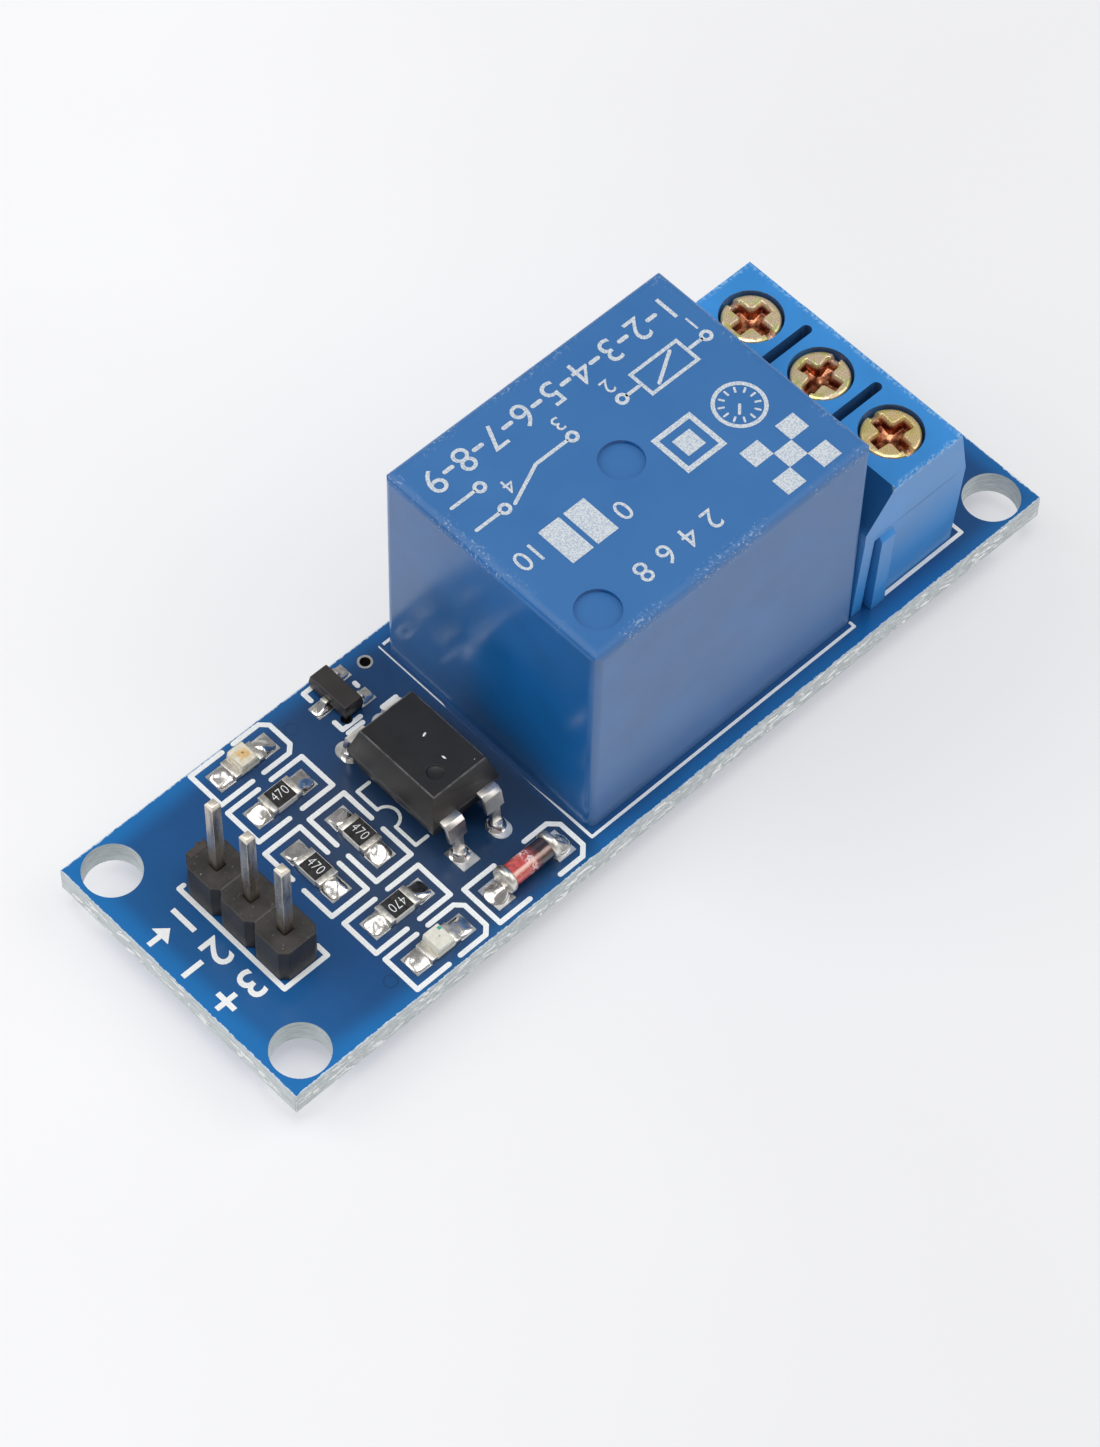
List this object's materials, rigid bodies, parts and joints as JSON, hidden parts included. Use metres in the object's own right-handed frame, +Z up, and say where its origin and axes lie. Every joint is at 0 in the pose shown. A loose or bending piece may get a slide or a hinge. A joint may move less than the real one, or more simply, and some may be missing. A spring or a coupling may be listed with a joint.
{
  "type": "relay module board",
  "caption": "Small circuit board with a sealed power relay, screw terminal, pin header and its driver parts, for switching a load from a logic signal.",
  "frame": {"origin": "centre of the four mounting holes, on the underside of the board", "axes": "+X along the board from the pin header to the screw terminal, +Y across the board towards the edge that carries the transistor, +Z up from the component side"},
  "size_m": [0.0534, 0.0178, 0.0184],
  "materials": {
    "board_laminate": "blue solder mask, satin gloss, bare pale laminate at the edges",
    "tinned_copper": "hot-dipped tin, bright and slightly lumpy",
    "legend_ink": "thin white print",
    "black_moulding": "fine matt black moulding",
    "pin_metal": "tinned brass, drawn",
    "white_ceramic": "fired alumina",
    "coat_glass": "dark glass coat",
    "lamp_laminate": "white laminate",
    "lamp_lens_resin": "clear to milky resin",
    "diode_red_glass": "red glass sleeve",
    "crystal": "grey crystal",
    "relay_blue": "blue moulding, fine satin",
    "relay_base_blue": "blue moulding, matt",
    "bobbin_resin": "cream moulding",
    "copper_wire": "enamelled copper wire, close wound",
    "soft_iron": "nickel-plated iron",
    "leaf_copper": "copper alloy leaf",
    "contact_silver": "silver alloy",
    "contact_brass": "stamped brass",
    "terminal_blue": "bright blue moulding, satin",
    "screw_zinc": "yellow zinc plate with a rainbow sheen",
    "cage_steel": "zinc-plated steel",
    "strip_brass": "tinned brass strip",
    "solder": "bright solder"
  },
  "bodies": {
    "module": {"circuit_board": "board_laminate", "copper_lands": "tinned_copper", "legend": "legend_ink", "header_housing": "black_moulding", "header_pin_1": "pin_metal", "header_pin_2": "pin_metal", "header_pin_3": "pin_metal", "resistor_1": "white_ceramic", "resistor_2": "white_ceramic", "resistor_3": "white_ceramic", "resistor_4": "white_ceramic", "resistor_caps": "tinned_copper", "resistor_coats": "coat_glass", "lamp_1_base": "lamp_laminate", "lamp_1_lens": "lamp_lens_resin", "lamp_2_base": "lamp_laminate", "lamp_2_lens": "lamp_lens_resin", "lamp_ends": "tinned_copper", "transistor_body": "black_moulding", "transistor_leads": "pin_metal", "diode_glass": "diode_red_glass", "diode_caps": "tinned_copper", "diode_pellet": "crystal", "opto_body": "black_moulding", "opto_leads": "pin_metal", "relay_case": "relay_blue", "relay_base": "relay_base_blue", "coil_bobbin": "bobbin_resin", "coil_winding": "copper_wire", "coil_core": "soft_iron", "coil_pin_1": "pin_metal", "coil_pin_2": "pin_metal", "yoke": "soft_iron", "closed_contact": "contact_brass", "open_contact": "contact_brass", "terminal_housing": "terminal_blue", "terminal_strip_1": "strip_brass", "terminal_strip_2": "strip_brass", "terminal_strip_3": "strip_brass", "chip_solder": "solder", "header_solder": "solder", "opto_solder": "solder", "relay_solder": "solder", "terminal_solder": "solder"},
    "relay_armature": {"armature": "soft_iron", "contact_spring": "leaf_copper", "moving_contact": "contact_silver"},
    "screw_1": {"terminal_screw_1": "screw_zinc"},
    "cage_1": {"terminal_cage_1": "cage_steel"},
    "screw_2": {"terminal_screw_2": "screw_zinc"},
    "cage_2": {"terminal_cage_2": "cage_steel"},
    "screw_3": {"terminal_screw_3": "screw_zinc"},
    "cage_3": {"terminal_cage_3": "cage_steel"}
  },
  "joints": [
    {"name": "armature_rock", "type": "hinge", "parent": "module", "child": "relay_armature", "pos_m": [-0.00395, 0.00008, 0.0125], "axis": [0, 1, 0], "range_deg": [0, 2.6], "stiffness_Nm_per_rad": 0.02, "springref_deg": -5.73},
    {"name": "screw_1_turn", "type": "hinge", "parent": "module", "child": "screw_1", "pos_m": [0.018, -0.00513, 0.011], "axis": [0, 0, -1], "range_deg": [0, 1600.1]},
    {"name": "cage_1_lift", "type": "slide", "parent": "module", "child": "cage_1", "axis": [0, 0, 1], "range_m": [0, 0.002]},
    {"name": "screw_2_turn", "type": "hinge", "parent": "module", "child": "screw_2", "pos_m": [0.018, -0.00005, 0.011], "axis": [0, 0, -1], "range_deg": [0, 1600.1]},
    {"name": "cage_2_lift", "type": "slide", "parent": "module", "child": "cage_2", "axis": [0, 0, 1], "range_m": [0, 0.002]},
    {"name": "screw_3_turn", "type": "hinge", "parent": "module", "child": "screw_3", "pos_m": [0.018, 0.00503, 0.011], "axis": [0, 0, -1], "range_deg": [0, 1600.1]},
    {"name": "cage_3_lift", "type": "slide", "parent": "module", "child": "cage_3", "axis": [0, 0, 1], "range_m": [0, 0.002]}
  ],
  "couplings": [
    {"joint": "screw_1_turn", "follows": "cage_1_lift", "rad_per_m": 13963},
    {"joint": "screw_2_turn", "follows": "cage_2_lift", "rad_per_m": 13963},
    {"joint": "screw_3_turn", "follows": "cage_3_lift", "rad_per_m": 13963}
  ]
}
